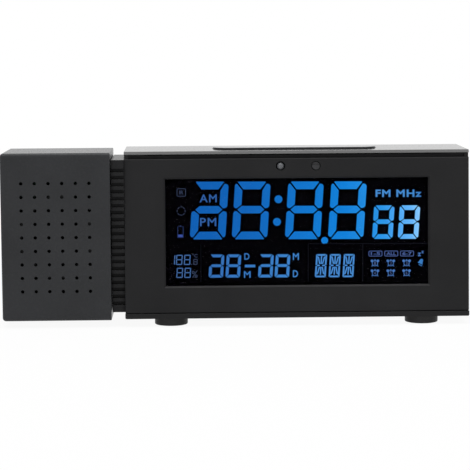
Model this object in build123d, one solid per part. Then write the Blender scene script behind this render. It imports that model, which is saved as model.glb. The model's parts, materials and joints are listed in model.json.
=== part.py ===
from build123d import *

import os
from math import cos, radians, sin

# A digital alarm clock: a wide case with a leaning display panel, and beside it a loudspeaker and
# projector head that turns on a ribbed neck. Sizes are in millimetres and angles in degrees.
# +X is the viewer's right, +Y the back and +Z up. The origin is on the surface that the feet stand on,
# under the middle of the clock's bounding box.

# Overall form
case_width = 149.3
case_depth = 42.0
case_height = 72.4
head_width = 47.1
head_depth = 40.0
head_height = 72.6
head_drop = 0.6
neck_length = 5.9
foot_height = 3.5

# Clearances
slide_gap = 0.3
turn_gap = 0.35
run_gap = 0.06
fit_gap = 0.05
overrun = 1.0

# Screws: a larger one for the shells and a smaller one for the boards
shell_screw_radius = 1.3
shell_screw_head_radius = 2.4
shell_screw_head_height = 1.2
shell_screw_length = 8.0
board_screw_radius = 1.0
board_screw_head_radius = 1.9
board_screw_head_height = 1.0
board_screw_length = 5.0
screw_slot_width = 0.5
screw_slot_depth = 0.6
pilot_spare = 1.0

# Main case
roof_thickness = 1.6
floor_thickness = 2.2
side_thickness = 1.8
roof_bevel = 1.2
roof_fall = 0.4
case_round = 0.6
post_size = 7.0

# Front panel
panel_tilt = 3.5
panel_thickness = 2.0
panel_recess = 0.5
panel_foot_gap = 0.3
panel_head_gap = 1.85
panel_side_gap = 0.1
panel_edge_bevel = 0.35
strip_thickness = 1.4
strip_lap = 3.0
strip_gap = 0.3
window_side_margin = 17.55
window_foot_margin = 11.45
window_head_margin = 8.72
window_bevel = 0.7
sensor_spacing = 15.3
sensor_shift = 0.62
sensor_drop = 3.4

# Display stack behind the window
glass_margin = 2.0
lens_thickness = 1.0
lens_gap = 0.3
glass_thickness = 2.0
guide_thickness = 2.7
frame_wall = 1.2
zebra_width = 1.6
zebra_end_gap = 4.0
led_width = 2.0
led_length = 3.5
led_height = 2.0
led_spacing = 22.0

# Main board and what is soldered to it
board_thickness = 1.6
board_boss_radius = 2.2
board_boss_inset = 6.0
board_edge = 0.3
chip_size = 14.0
chip_thickness = 1.6
shield_width = 24.0
shield_height = 18.0
shield_depth = 4.0
shield_wall = 0.4
part_place_share = 0.53
climate_size = 5.0
climate_thickness = 2.0

# Infrared pair above the window
sensor_radius = 1.7
sensor_rim_radius = 2.0
sensor_rim_thickness = 1.0
emitter_proud = 0.25
receiver_recess = 0.2
receiver_step = 0.5
receiver_step_rise = 0.3

# Snooze bar and its board
snooze_length = 72.0
snooze_width = 13.0
snooze_setback = 17.0
snooze_proud = 0.45
snooze_round = 0.35
snooze_switch_spacing = 40.0
snooze_board_width = 10.0

# Press keys in general: retaining lip, stem and switch
press_travel = 0.8
lip_reach = 1.0
lip_thickness = 1.2
stem_radius = 1.5
stem_length = 1.6
stem_entry = 0.2
switch_size = 6.0
switch_height = 3.5

# Rear cover, its keys and its board
cover_thickness = 2.0
cover_recess = 1.5
cover_gap = 0.15
key_width = 8.0
key_height = 5.0
key_round = 1.0
key_proud = 1.0
key_pitch = 13.0
key_row_drop = 15.0
key_row_offset = 24.0
key_board_height = 10.0
key_post_radius = 2.4
vent_count = 7
vent_width = 2.0
vent_height = 14.0
vent_pitch = 5.0
vent_offset = 26.0
vent_rise = 22.0

# Power inlet and aerial gland
jack_size = 9.0
jack_nose_radius = 4.0
jack_bore_radius = 2.9
jack_bore_depth = 7.0
jack_pin_radius = 0.9
jack_pin_recess = 0.8
jack_spacing = 17.0
gland_radius = 2.2
gland_bore_radius = 0.8
gland_flange_radius = 3.4
gland_flange_thickness = 1.0
gland_inset = 16.0
gland_rise = 12.0

# Battery bay
cell_count = 3
cell_radius = 5.2
cell_length = 44.5
nub_radius = 1.9
nub_length = 1.0
cell_gap = 0.2
plate_thickness = 0.4
plate_size = 8.0
spring_length = 3.5
spring_wide_radius = 3.6
spring_tip_radius = 2.4
spring_wire = 0.5
tray_wall = 1.2
tray_inset = 14.0
tray_rise = 3.5
door_thickness = 1.4
door_lap = 2.0
grip_count = 4
grip_width = 0.8
grip_length = 12.0
grip_proud = 0.6
grip_pitch = 2.2
grip_inset = 4.0

# Feet
foot_radius = 7.2
foot_round = 0.5
foot_seat = 0.6
foot_inset = 1.8
foot_end_inset = 12.6

# Neck
neck_front_inset = 2.0
neck_back_inset = 1.5
neck_top_inset = 3.6
neck_foot_inset = 2.8
neck_wall = 2.4
neck_face = 2.0
neck_boss_radius = 2.6
neck_boss_inset = 6.0
neck_boss_rise = 10.0
hub_wall = 2.0
groove_pitch = 3.03
groove_width = 1.5
groove_depth = 1.3
groove_head_margin = 4.5
groove_foot_margin = 3.4

# Pivot between head and case
pivot_setback = 14.4
pivot_radius = 6.5
pivot_bore_radius = 4.5
pivot_flange_radius = 9.8
pivot_flange_thickness = 1.5
washer_radius = 9.5
washer_thickness = 0.8
retainer_radius = 9.5
retainer_thickness = 2.0
pivot_tail = 0.8

# Wiring through the pivot
loom_radius = 1.8
loom_bend_share = 0.5
plug_width = 7.0
plug_height = 5.4
plug_depth = 5.5
plug_inset = 1.4
plug_entry = 2.0
plug_drop = 8.0
grommet_length = 3.0

# Head shells and grille
head_wall = 2.0
head_round = 1.5
head_end_round = 0.4
head_split = 25.0
head_post_size = 6.5
grille_columns = 6
grille_rows = 9
grille_pitch = 5.84
grille_hole_radius = 0.74

# Loudspeaker
speaker_side_gap = 3.5
speaker_rim_width = 2.4
speaker_rim_thickness = 1.5
speaker_wall = 0.8
speaker_depth = 9.0
speaker_back_radius = 10.5
coil_radius = 5.5
coil_wall = 0.6
coil_gap = 0.4
coil_dip = 2.5
paper_thickness = 0.4
cone_mouth_setback = 0.8
cone_neck_setback = 6.0
dome_setback = 4.0
magnet_radius = 10.0
magnet_depth = 5.4
magnet_groove_depth = 3.5

# Projector in the head
projector_drop = 15.2
projector_setback = 2.6
projector_board_thickness = 1.2
projector_board_height = 17.0
projector_post_spacing = 27.0
projector_post_radius = 2.4
tube_wall = 1.35
holder_radius = 6.7
holder_wall = 1.3
holder_length = 9.0
holder_recess = 0.5
focus_travel = 0.8
holder_gap = 0.15
optic_thickness = 2.6
optic_curve_radius = 12.0
optic_recess = 1.0
slide_size = 9.0
slide_thickness = 1.2
slide_place_share = 0.39
lamp_radius = 2.5
lamp_height = 3.0
ring_radius = 9.0
ring_proud = 1.2
ring_flange_reach = 1.4
ring_flange_thickness = 1.0
ring_notch_count = 24
ring_notch_depth = 0.4
ring_notch_width = 1.0


def centred(middle, size):
    """The two ends of a stretch of this size about its middle."""
    return (middle - size / 2, middle + size / 2)


def grown(stretch, margin):
    """A stretch lengthened by the margin at both ends."""
    return (stretch[0] - margin, stretch[1] + margin)


def middle_of(stretch):
    return (stretch[0] + stretch[1]) / 2


def length_of(stretch):
    return stretch[1] - stretch[0]


# Where the main pieces lie
half_width = (case_width + neck_length + head_width) / 2
case_x = (half_width - case_width, half_width)
case_y = centred(0, case_depth)
case_z = (foot_height, foot_height + case_height)
case_middle = middle_of(case_x)
inner_x = grown(case_x, -side_thickness)
inner_z = (case_z[0] + floor_thickness, case_z[1] - roof_thickness)

head_x = (-half_width, -half_width + head_width)
head_y = (case_y[0], case_y[0] + head_depth)
head_z = (case_z[0] - head_drop, case_z[0] - head_drop + head_height)
head_inner = [grown(stretch, -head_wall) for stretch in (head_x, head_y, head_z)]
head_middle = middle_of(head_x)
split_y = head_y[0] + head_split
pivot_y = head_y[0] + pivot_setback
pivot_z = middle_of(head_z)

neck_x = (head_x[1] + turn_gap, case_x[0])
neck_y = (case_y[0] + neck_front_inset, case_y[1] - neck_back_inset)
neck_z = (case_z[0] + neck_foot_inset, case_z[1] - neck_top_inset)

# The front panel leans back, and it and the display stack are drawn in its own axes:
# U along the clock, V up the panel from its foot and W out of its face
panel_foot = (case_middle, case_y[0] + panel_recess, inner_z[0] + panel_foot_gap)
lean = radians(panel_tilt)
panel_plane = Plane(origin=panel_foot, x_dir=(1, 0, 0), z_dir=(0, -cos(lean), sin(lean)))
panel_u = centred(0, case_width - 2 * panel_side_gap)
panel_v = (0, (length_of(inner_z) - panel_foot_gap - panel_head_gap) / cos(lean))
strip_u = centred(0, length_of(inner_x) - 2 * strip_gap)
strip_top = (length_of(inner_z) - panel_foot_gap - strip_gap) / cos(lean)
sensor_v = panel_v[1] - sensor_drop
sensor_u = centred(sensor_shift, sensor_spacing)
window_u = grown(panel_u, -window_side_margin)
window_v = (panel_v[0] + window_foot_margin, panel_v[1] - window_head_margin)
window_middle = middle_of(window_v)

# Depths in the display stack, from the panel's face inwards
lens_w = (-panel_thickness - lens_thickness, -panel_thickness)
glass_w = (lens_w[0] - lens_gap - glass_thickness, lens_w[0] - lens_gap)
guide_w = (glass_w[0] - guide_thickness, glass_w[0])
board_w = (guide_w[0] - board_thickness, guide_w[0])
glass_u = grown(window_u, glass_margin)
glass_v = grown(window_v, glass_margin)
guide_u = grown(glass_u, -led_width - slide_gap)
guide_v = grown(glass_v, -zebra_width - slide_gap)
frame_u = grown(glass_u, fit_gap + frame_wall)
frame_v = grown(glass_v, fit_gap + frame_wall)
boss_u = grown(frame_u, -board_boss_inset)
boss_v = grown(frame_v, board_edge + board_boss_radius)
boss_places = [(u, v) for u in boss_u for v in boss_v]
board_u = grown(frame_u, board_edge)
board_v = grown(boss_v, board_boss_radius + board_edge)

# Snooze bar
snooze_y = (case_y[0] + snooze_setback, case_y[0] + snooze_setback + snooze_width)
snooze_lip_z = (inner_z[1] - slide_gap - lip_thickness, inner_z[1] - slide_gap)
snooze_switch_top = snooze_lip_z[0] - stem_length + stem_entry
snooze_board_z = (snooze_switch_top - switch_height - board_thickness, snooze_switch_top - switch_height)
snooze_boss_spacing = snooze_length + 2 * (lip_reach + slide_gap + board_boss_radius + board_edge)
snooze_boss_x = centred(case_middle, snooze_boss_spacing)
snooze_switch_x = centred(case_middle, snooze_switch_spacing)

# Rear cover, its keys and board
cover_y = (case_y[1] - cover_recess - cover_thickness, case_y[1] - cover_recess)
key_lip_y = (cover_y[0] - slide_gap - lip_thickness, cover_y[0] - slide_gap)
key_switch_face = key_lip_y[0] - stem_length + stem_entry
key_board_y = (key_switch_face - switch_height - board_thickness, key_switch_face - switch_height)
key_names = ("mode_button", "set_button", "up_button", "down_button", "alarm_button", "radio_button")
key_row_z = case_z[1] - key_row_drop
key_x = [case_middle - key_row_offset + number * key_pitch for number in range(len(key_names))]
jack_x = key_x[0] - jack_spacing
key_board_z = centred(key_row_z, key_board_height)
key_post_x = grown(
    (jack_x - jack_size / 2, key_x[-1] + key_width / 2 + lip_reach),
    slide_gap + key_post_radius,
)
key_board_x = grown(key_post_x, key_post_radius + board_edge)
vent_middle = case_middle - vent_offset
vent_x = [vent_middle + (number - (vent_count - 1) / 2) * vent_pitch for number in range(vent_count)]
vent_z = (inner_z[0] + vent_rise, inner_z[0] + vent_rise + vent_height)
gland_place = (inner_x[0] + gland_inset, inner_z[0] + gland_rise)
corner_places = [(x, z) for x in grown(inner_x, -post_size / 2) for z in grown(inner_z, -post_size / 2)]

# Battery bay
cell_step = 2 * (cell_radius + cell_gap)
bay_length = 2 * plate_thickness + spring_length + cell_length + fit_gap
bay_x = (case_x[1] - tray_inset - bay_length, case_x[1] - tray_inset)
bay_y = (cover_y[1] - door_thickness - cell_step, cover_y[1] - door_thickness)
bay_z = (inner_z[0] + tray_rise, inner_z[0] + tray_rise + cell_count * cell_step)
cell_y = middle_of(bay_y)
cell_z = [bay_z[0] + (number + 1 / 2) * cell_step for number in range(cell_count)]
door_seat_x = grown(bay_x, door_lap)
door_seat_z = grown(bay_z, door_lap)

# Feet
foot_x = grown(case_x, -foot_end_inset - foot_radius)
foot_y = grown(case_y, -foot_inset - foot_radius)

# Pivot, along X from the head's wall into the case
flange_x = (head_inner[0][1] - pivot_flange_thickness, head_inner[0][1])
washer_x = (inner_x[0], inner_x[0] + washer_thickness)
retainer_x = (washer_x[1] + fit_gap, washer_x[1] + fit_gap + retainer_thickness)
pivot_x = (flange_x[0], retainer_x[1] + pivot_tail)

# Screw posts of the head's shells
head_post_places = [
    (x, z)
    for x in grown(head_inner[0], -head_post_size / 2)
    for z in grown(head_inner[2], -head_post_size / 2)
]

# Loudspeaker, behind the grille
speaker_y = head_inner[1][0]
speaker_back = speaker_y + speaker_depth
speaker_radius = length_of(head_inner[0]) / 2 - speaker_side_gap
speaker_mouth_radius = speaker_radius - speaker_rim_width - speaker_wall

# Projector, along Y to the head's back
projector_z = head_inner[2][1] - projector_drop
projector_front = pivot_y + projector_setback
projector_board_y = (projector_front, projector_front + projector_board_thickness)
ring_flange_y = (head_inner[1][1] - slide_gap - ring_flange_thickness, head_inner[1][1] - slide_gap)
ring_y = (ring_flange_y[0], head_y[1] + ring_proud)
tube_y = (projector_board_y[1], ring_flange_y[0] - slide_gap)
tube_bore_radius = holder_radius + holder_gap
holder_back = ring_y[1] - focus_travel - holder_recess
holder_y = (holder_back - holder_length, holder_back)
optic_y = (holder_y[1] - optic_recess - optic_thickness, holder_y[1] - optic_recess)
projector_post_x = centred(head_middle, projector_post_spacing)
projector_board_x = grown(projector_post_x, projector_post_radius + board_edge)

# Wiring: from a plug on the main board, along the pivot's axis, then up to a plug in the head
plug_u = (board_u[0] + plug_inset, board_u[0] + plug_inset + plug_width)
loom_start_x = case_middle + plug_u[0] + plug_entry
loom_turn_x = projector_board_x[1] - plug_inset - loom_radius
loom_top_z = projector_z - plug_drop


def block(x, y, z):
    """A box that fills three stretches."""
    place = Pos(middle_of(x), middle_of(y), middle_of(z))
    return place * Box(length_of(x), length_of(y), length_of(z))


def rod_x(x, y, z, radius):
    return Pos(middle_of(x), y, z) * Rot(0, 90, 0) * Cylinder(radius, length_of(x))


def rod_y(x, y, z, radius):
    return Pos(x, middle_of(y), z) * Rot(90, 0, 0) * Cylinder(radius, length_of(y))


def rod_z(x, y, z, radius):
    return Pos(x, y, middle_of(z)) * Cylinder(radius, length_of(z))


def turned_y(outline, x, z):
    """A solid turned about an axis along Y; the outline is a list of (radius, y) points."""
    face = make_face(Polyline(*outline, close=True))
    return Pos(x, 0, z) * revolve(face, Axis.Y)


def group(pieces):
    """Separate solids kept together as one node."""
    return Compound([solid for piece in pieces for solid in piece.solids()])


def on_panel(piece):
    """A piece drawn in the panel's axes, put in its place on the clock."""
    return panel_plane.location * piece


def screw(radius, head_radius, head_height, length):
    """A pan-head cross-slot screw, with its head on the plane Z = 0 and its shank below."""
    piece = rod_z(0, 0, (0, head_height), head_radius) + rod_z(0, 0, (-length, 0), radius)
    slot_z = (head_height - screw_slot_depth, head_height + overrun)
    slot_long = centred(0, 2 * radius)
    slot_wide = centred(0, screw_slot_width)
    return piece - block(slot_long, slot_wide, slot_z) - block(slot_wide, slot_long, slot_z)


def shell_screw():
    return screw(shell_screw_radius, shell_screw_head_radius, shell_screw_head_height, shell_screw_length)


def board_screw():
    return screw(board_screw_radius, board_screw_head_radius, board_screw_head_height, board_screw_length)


def rounded_bar(length, width, radius, z):
    """An upright prism about the Z axis with rounded corners in plan."""
    outline = RectangleRounded(length, width, radius)
    return Pos(0, 0, z[0]) * extrude(outline, length_of(z))


def stadium(length, width, z):
    """An upright prism about the Z axis with half-round ends."""
    return Pos(0, 0, z[0]) * extrude(SlotOverall(length, width), length_of(z))


# Main case

def before_panel(depth):
    """The room over the whole width from this depth behind the panel's face forwards."""
    return on_panel(block(centred(0, 2 * case_width), grown(panel_v, case_height), (-depth, case_depth)))


def above_roof():
    """The room above the roof, which falls a little towards the front."""
    over = case_z[1] + overrun
    front_z = case_z[1] - roof_fall
    outline = [(case_y[1], case_z[1]), (case_y[1], over), (case_y[0], over), (case_y[0], front_z)]
    face = Plane.YZ * make_face(Polyline(*outline, close=True))
    return Pos(case_x[0] - overrun, 0, 0) * extrude(face, case_width + 2 * overrun)


def case_sleeve():
    """Roof, floor and side walls; the roof's front edge is bevelled and lies in the plane of the panel."""
    sleeve = block(case_x, case_y, case_z) - above_roof()
    above_floor = (inner_z[0], 2 * case_z[1])
    sleeve -= before_panel(0) & block(grown(case_x, overrun), grown(case_y, overrun), above_floor)
    front_top = sleeve.edges().filter_by(Axis.X).sort_by(Axis.Z)[-2:].sort_by(Axis.Y)[0]
    sleeve = chamfer(front_top, roof_bevel)
    bottom_ends = sleeve.edges().filter_by(Axis.Y).group_by(Axis.Z)[0]
    sleeve = fillet(bottom_ends + sleeve.faces().sort_by(Axis.Y)[-1].edges(), case_round)
    return sleeve - block(inner_x, grown(case_y, overrun), inner_z)


def case_posts():
    """Corner posts: the panel seats on their front ends and the rear cover on their back ends."""
    return [
        block(centred(x, post_size), (case_y[0], cover_y[0]), centred(z, post_size))
        for x, z in corner_places
    ]


def panel_seat():
    """The room of the front panel, which covers the walls' front ends, and of its strip between them."""
    strip_v = (panel_v[1] - strip_lap, panel_v[1] + post_size)
    strip_w = (-panel_thickness - strip_thickness, 0)
    room = before_panel(panel_thickness) + on_panel(block(grown(strip_u, strip_gap), strip_v, strip_w))
    return room & block(grown(case_x, overrun), grown(case_y, overrun), inner_z)


def main_case():
    case = case_sleeve() + case_posts() - panel_seat()
    pilot_y = (cover_y[1] - shell_screw_length - pilot_spare, case_y[1])
    for x, z in corner_places:
        case -= rod_y(x, pilot_y, z, shell_screw_radius + fit_gap)
    for x in snooze_boss_x:
        boss_z = (snooze_board_z[1], inner_z[1] + fit_gap)
        case += rod_z(x, middle_of(snooze_y), boss_z, board_boss_radius)
        pilot_z = (snooze_board_z[0], snooze_board_z[0] + board_screw_length + pilot_spare)
        case -= rod_z(x, middle_of(snooze_y), pilot_z, board_screw_radius + fit_gap)
    slot = stadium(snooze_length + 2 * slide_gap, snooze_width + 2 * slide_gap, grown(case_z, overrun))
    case -= Pos(case_middle, middle_of(snooze_y), 0) * slot & block(
        grown(case_x, overrun), case_y, (inner_z[1] - overrun, case_z[1] + overrun)
    )
    left_wall = grown((case_x[0], inner_x[0]), overrun)
    case -= rod_x(left_wall, pivot_y, pivot_z, pivot_radius + slide_gap)
    for y, z in neck_boss_places():
        case -= rod_x(left_wall, y, z, board_screw_radius + fit_gap)
    for x in foot_x:
        for y in foot_y:
            case -= rod_z(x, y, (case_z[0] - overrun, case_z[0] + foot_seat), foot_radius + fit_gap)
    return case


# Front panel and display stack

def window_cut():
    """The display window, with its bevelled edge."""
    through = block(window_u, window_v, (-panel_thickness - overrun, overrun))
    narrow = Rectangle(length_of(window_u), length_of(window_v))
    wide = Rectangle(length_of(window_u) + 2 * window_bevel, length_of(window_v) + 2 * window_bevel)
    bevel = loft([Pos(0, window_middle, 0) * wide, Pos(0, window_middle, -window_bevel) * narrow])
    return through + bevel


def front_panel():
    panel = block(panel_u, panel_v, (-panel_thickness, 0))
    head_edges = panel.edges().filter_by(Axis.X).group_by(Axis.Y)[-1]
    panel = chamfer(head_edges.sort_by(Axis.Z)[-1], panel_edge_bevel)
    strip_w = (-panel_thickness - strip_thickness, -panel_thickness)
    panel += block(strip_u, (panel_v[1] - strip_lap, strip_top), strip_w)
    for u, v in boss_places:
        boss = rod_z(u, v, (board_w[1], -panel_thickness), board_boss_radius)
        pilot_w = (board_w[0], board_w[0] + board_screw_length + pilot_spare)
        panel = panel + boss - rod_z(u, v, pilot_w, board_screw_radius + fit_gap)
    for u in sensor_u:
        panel -= rod_z(u, sensor_v, (strip_w[0] - overrun, overrun), sensor_radius + slide_gap)
    return on_panel(panel - window_cut())


def display_lens():
    return on_panel(block(glass_u, glass_v, lens_w))


def lcd_glass():
    return on_panel(block(glass_u, glass_v, glass_w))


def lcd_frame():
    frame_w = (board_w[1], -panel_thickness)
    opening = block(grown(glass_u, fit_gap), grown(glass_v, fit_gap), grown(frame_w, overrun))
    return on_panel(block(frame_u, frame_v, frame_w) - opening)


def zebra_strips():
    """Two rubber strips that join the display glass to the main board."""
    strip_u = grown(glass_u, -zebra_end_gap)
    low = (glass_v[0] + fit_gap, glass_v[0] + fit_gap + zebra_width)
    high = (glass_v[1] - fit_gap - zebra_width, glass_v[1] - fit_gap)
    return group(on_panel(block(strip_u, strip_v, guide_w)) for strip_v in (low, high))


def light_guide():
    return on_panel(block(guide_u, guide_v, guide_w))


def backlight_leds():
    """Two lamps at each end of the light guide."""
    lamps = []
    for side in (-1, 1):
        lamp_u = sorted((side * glass_u[1], side * (glass_u[1] - led_width)))
        for v in centred(window_middle, led_spacing):
            lamps.append(block(lamp_u, centred(v, led_length), (board_w[1], board_w[1] + led_height)))
    return group(on_panel(lamp) for lamp in lamps)


def main_board():
    board = block(board_u, board_v, board_w)
    for u, v in boss_places:
        board -= rod_z(u, v, grown(board_w, overrun), board_screw_radius + fit_gap)
    return on_panel(board)


def controller_chip():
    chip_w = (board_w[0] - chip_thickness, board_w[0])
    return on_panel(block(centred(0, chip_size), centred(window_middle, chip_size), chip_w))


def tuner_shield():
    """A folded metal can over the radio, open towards the board."""
    middle_u = part_place_share * board_u[1]
    can_w = (board_w[0] - shield_depth, board_w[0])
    hollow_w = (can_w[0] + shield_wall, board_w[0] + overrun)
    can = block(centred(middle_u, shield_width), centred(window_middle, shield_height), can_w)
    hollow_u = centred(middle_u, shield_width - 2 * shield_wall)
    hollow_v = centred(window_middle, shield_height - 2 * shield_wall)
    return on_panel(can - block(hollow_u, hollow_v, hollow_w))


def climate_sensor():
    sensor_w = (board_w[0] - climate_thickness, board_w[0])
    place_u = centred(part_place_share * board_u[0], climate_size)
    return on_panel(block(place_u, centred(window_middle, climate_size), sensor_w))


def infrared_body(tip_w):
    """The round body and rim that both infrared pieces share, standing on the main board."""
    rim = rod_z(0, 0, (board_w[1], board_w[1] + sensor_rim_thickness), sensor_rim_radius)
    return rim + rod_z(0, 0, (board_w[1], tip_w), sensor_radius)


def infrared_emitter():
    dome_base = emitter_proud - sensor_radius
    body = infrared_body(dome_base) + Pos(0, 0, dome_base) * Sphere(sensor_radius)
    return on_panel(Pos(sensor_u[0], sensor_v, 0) * body)


def infrared_receiver():
    body = infrared_body(-receiver_recess)
    step_v = (receiver_step_rise, sensor_radius + overrun)
    step_w = (-receiver_recess - receiver_step, overrun)
    body -= block(centred(0, 2 * (sensor_radius + overrun)), step_v, step_w)
    return on_panel(Pos(sensor_u[1], sensor_v, 0) * body)


def board_screws():
    """The small screws of the main board, the key board and the snooze board."""
    pieces = []
    for u, v in boss_places:
        pieces.append(on_panel(Pos(u, v, board_w[0]) * Rot(180, 0, 0) * board_screw()))
    for x in key_post_x:
        pieces.append(Pos(x, key_board_y[0], key_row_z) * Rot(90, 0, 0) * board_screw())
    for x in snooze_boss_x:
        pieces.append(Pos(x, middle_of(snooze_y), snooze_board_z[0]) * Rot(180, 0, 0) * board_screw())
    return group(pieces)


# Snooze bar

def snooze_bar():
    top = case_z[1] + snooze_proud
    bar = stadium(snooze_length, snooze_width, (snooze_lip_z[0], top))
    bar = fillet(bar.edges().group_by(Axis.Z)[-1], snooze_round)
    bar += stadium(snooze_length + 2 * lip_reach, snooze_width + 2 * lip_reach, snooze_lip_z)
    bar = Pos(case_middle, middle_of(snooze_y), 0) * bar
    for x in snooze_switch_x:
        stem_z = (snooze_lip_z[0] - stem_length, snooze_lip_z[0])
        bar += rod_z(x, middle_of(snooze_y), stem_z, stem_radius)
    return bar


def snooze_board():
    board_x = grown(snooze_boss_x, board_boss_radius + board_edge)
    board = block(board_x, centred(middle_of(snooze_y), snooze_board_width), snooze_board_z)
    for x in snooze_boss_x:
        board -= rod_z(x, middle_of(snooze_y), grown(snooze_board_z, overrun), board_screw_radius + fit_gap)
    return board


def key_switch():
    """A push switch on the plane Z = 0, with a well in its top that takes a key's stem."""
    well_depth = stem_entry + press_travel + slide_gap
    body = block(centred(0, switch_size), centred(0, switch_size), (0, switch_height))
    well_z = (switch_height - well_depth, switch_height + overrun)
    return body - rod_z(0, 0, well_z, stem_radius + slide_gap)


def snooze_switches():
    place_y = middle_of(snooze_y)
    return group(Pos(x, place_y, snooze_board_z[1]) * key_switch() for x in snooze_switch_x)


# Rear cover

def battery_tray():
    """The walled bay that is moulded into the rear cover."""
    return block(grown(bay_x, tray_wall), (bay_y[0] - tray_wall, cover_y[1]), grown(bay_z, tray_wall))


def rear_cover():
    cover = block(grown(inner_x, -cover_gap), cover_y, grown(inner_z, -cover_gap))
    cover += battery_tray()
    for x in key_post_x:
        cover += rod_y(x, (key_board_y[1], cover_y[0] + fit_gap), key_row_z, key_post_radius)
        pilot_y = (key_board_y[0], key_board_y[0] + board_screw_length + pilot_spare)
        cover -= rod_y(x, pilot_y, key_row_z, board_screw_radius + fit_gap)
    through = grown(cover_y, overrun)
    cover -= block(bay_x, (bay_y[0], case_y[1]), bay_z)
    cover -= block(door_seat_x, (bay_y[1], case_y[1]), door_seat_z)
    for x in key_x:
        hole = rounded_bar(key_width + 2 * slide_gap, key_height + 2 * slide_gap, key_round, through)
        cover -= Pos(x, 0, key_row_z) * Rot(-90, 0, 0) * hole
    for x in vent_x:
        cover -= block(centred(x, vent_width), through, vent_z)
    for x, z in corner_places:
        cover -= rod_y(x, through, z, shell_screw_radius + fit_gap)
    cover -= rod_y(jack_x, through, key_row_z, jack_nose_radius + fit_gap)
    cover -= rod_y(gland_place[0], through, gland_place[1], gland_radius + fit_gap)
    return cover


def rear_key(x):
    """One press key of the rear cover, pushed in along -Y."""
    top = cover_y[1] + key_proud
    cap = rounded_bar(key_width, key_height, key_round, (key_lip_y[0], top))
    cap = fillet(cap.edges().group_by(Axis.Z)[-1], snooze_round)
    lip = rounded_bar(key_width + 2 * lip_reach, key_height + 2 * lip_reach, key_round, key_lip_y)
    stem = rod_z(0, 0, (key_lip_y[0] - stem_length, key_lip_y[0]), stem_radius)
    return Pos(x, 0, key_row_z) * Rot(-90, 0, 0) * (cap + lip + stem)


def key_board():
    board = block(key_board_x, key_board_y, key_board_z)
    for x in key_post_x:
        board -= rod_y(x, grown(key_board_y, overrun), key_row_z, board_screw_radius + fit_gap)
    return board


def key_switches():
    turn = Rot(-90, 0, 0)
    return group(Pos(x, key_board_y[1], key_row_z) * turn * key_switch() for x in key_x)


def power_jack():
    """A barrel socket on the key board, with its centre pin."""
    jack = block(centred(jack_x, jack_size), (key_board_y[1], cover_y[0]), centred(key_row_z, jack_size))
    jack += rod_y(jack_x, (cover_y[0], cover_y[1]), key_row_z, jack_nose_radius)
    bore_floor = cover_y[1] - jack_bore_depth
    jack -= rod_y(jack_x, (bore_floor, cover_y[1] + overrun), key_row_z, jack_bore_radius)
    return jack + rod_y(jack_x, (bore_floor, cover_y[1] - jack_pin_recess), key_row_z, jack_pin_radius)


def aerial_gland():
    """A rubber grommet where the radio's wire aerial leaves the rear cover."""
    x, z = gland_place
    outer = grown(cover_y, gland_flange_thickness)
    gland = rod_y(x, cover_y, z, gland_radius)
    gland += rod_y(x, (outer[0], cover_y[0]), z, gland_flange_radius)
    gland += rod_y(x, (cover_y[1], outer[1]), z, gland_flange_radius)
    return gland - rod_y(x, grown(outer, overrun), z, gland_bore_radius)


def cover_screws():
    turn = Rot(-90, 0, 0)
    return group(Pos(x, cover_y[1], z) * turn * shell_screw() for x, z in corner_places)


# Battery bay

def cell_ends(number):
    """The X places of one cell's spring end and nub end; every second cell lies the other way round."""
    return bay_x if number % 2 == 0 else bay_x[::-1]


def along(start, towards, distance):
    """The place that lies this far from the start, on the way to another place."""
    return start + distance if towards > start else start - distance


def battery_cell(number):
    spring_end, nub_end = cell_ends(number)
    tail = along(spring_end, nub_end, plate_thickness + spring_length)
    shoulder = along(tail, nub_end, cell_length - nub_length)
    tip = along(shoulder, nub_end, nub_length)
    z = cell_z[number]
    can = rod_x(sorted((tail, shoulder)), cell_y, z, cell_radius)
    return can + rod_x(sorted((shoulder, tip)), cell_y, z, nub_radius)


def battery_cells():
    return group(battery_cell(number) for number in range(cell_count))


def cell_plates():
    plates = []
    for z in cell_z:
        low = (bay_x[0], bay_x[0] + plate_thickness)
        high = (bay_x[1] - plate_thickness, bay_x[1])
        for plate_x in (low, high):
            plates.append(block(plate_x, centred(cell_y, plate_size), centred(z, plate_size)))
    return group(plates)


def cell_spring(number):
    """A tapered contact spring, as a hollow cone with its wide end on the contact plate."""
    spring_end, nub_end = cell_ends(number)
    outer = Cone(spring_wide_radius, spring_tip_radius, spring_length)
    inner = Cone(spring_wide_radius - spring_wire, spring_tip_radius - spring_wire, spring_length)
    spring = outer - inner
    turn = Rot(0, 90, 0) if nub_end > spring_end else Rot(0, -90, 0)
    middle = along(spring_end, nub_end, plate_thickness + spring_length / 2)
    return Pos(middle, cell_y, cell_z[number]) * turn * spring


def cell_springs():
    return group(cell_spring(number) for number in range(cell_count))


def battery_door():
    door_x = grown(door_seat_x, -slide_gap)
    door_z = grown(door_seat_z, -slide_gap)
    door = block(door_x, (bay_y[1], cover_y[1]), door_z)
    for number in range(grip_count):
        z = door_z[1] - grip_inset - number * grip_pitch
        rib_y = (cover_y[1], cover_y[1] + grip_proud)
        door += block(centred(middle_of(door_x), grip_length), rib_y, centred(z, grip_width))
    return door


# Feet

def rubber_foot(x, y):
    foot = rod_z(x, y, (0, case_z[0] + foot_seat), foot_radius)
    return fillet(foot.edges().group_by(Axis.Z)[0], foot_round)


def feet_row(y):
    return group(rubber_foot(x, y) for x in foot_x)


# Neck and pivot

def neck_boss_places():
    return [(y, z) for y in grown(neck_y, -neck_boss_inset) for z in grown(neck_z, -neck_boss_rise)]


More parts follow.
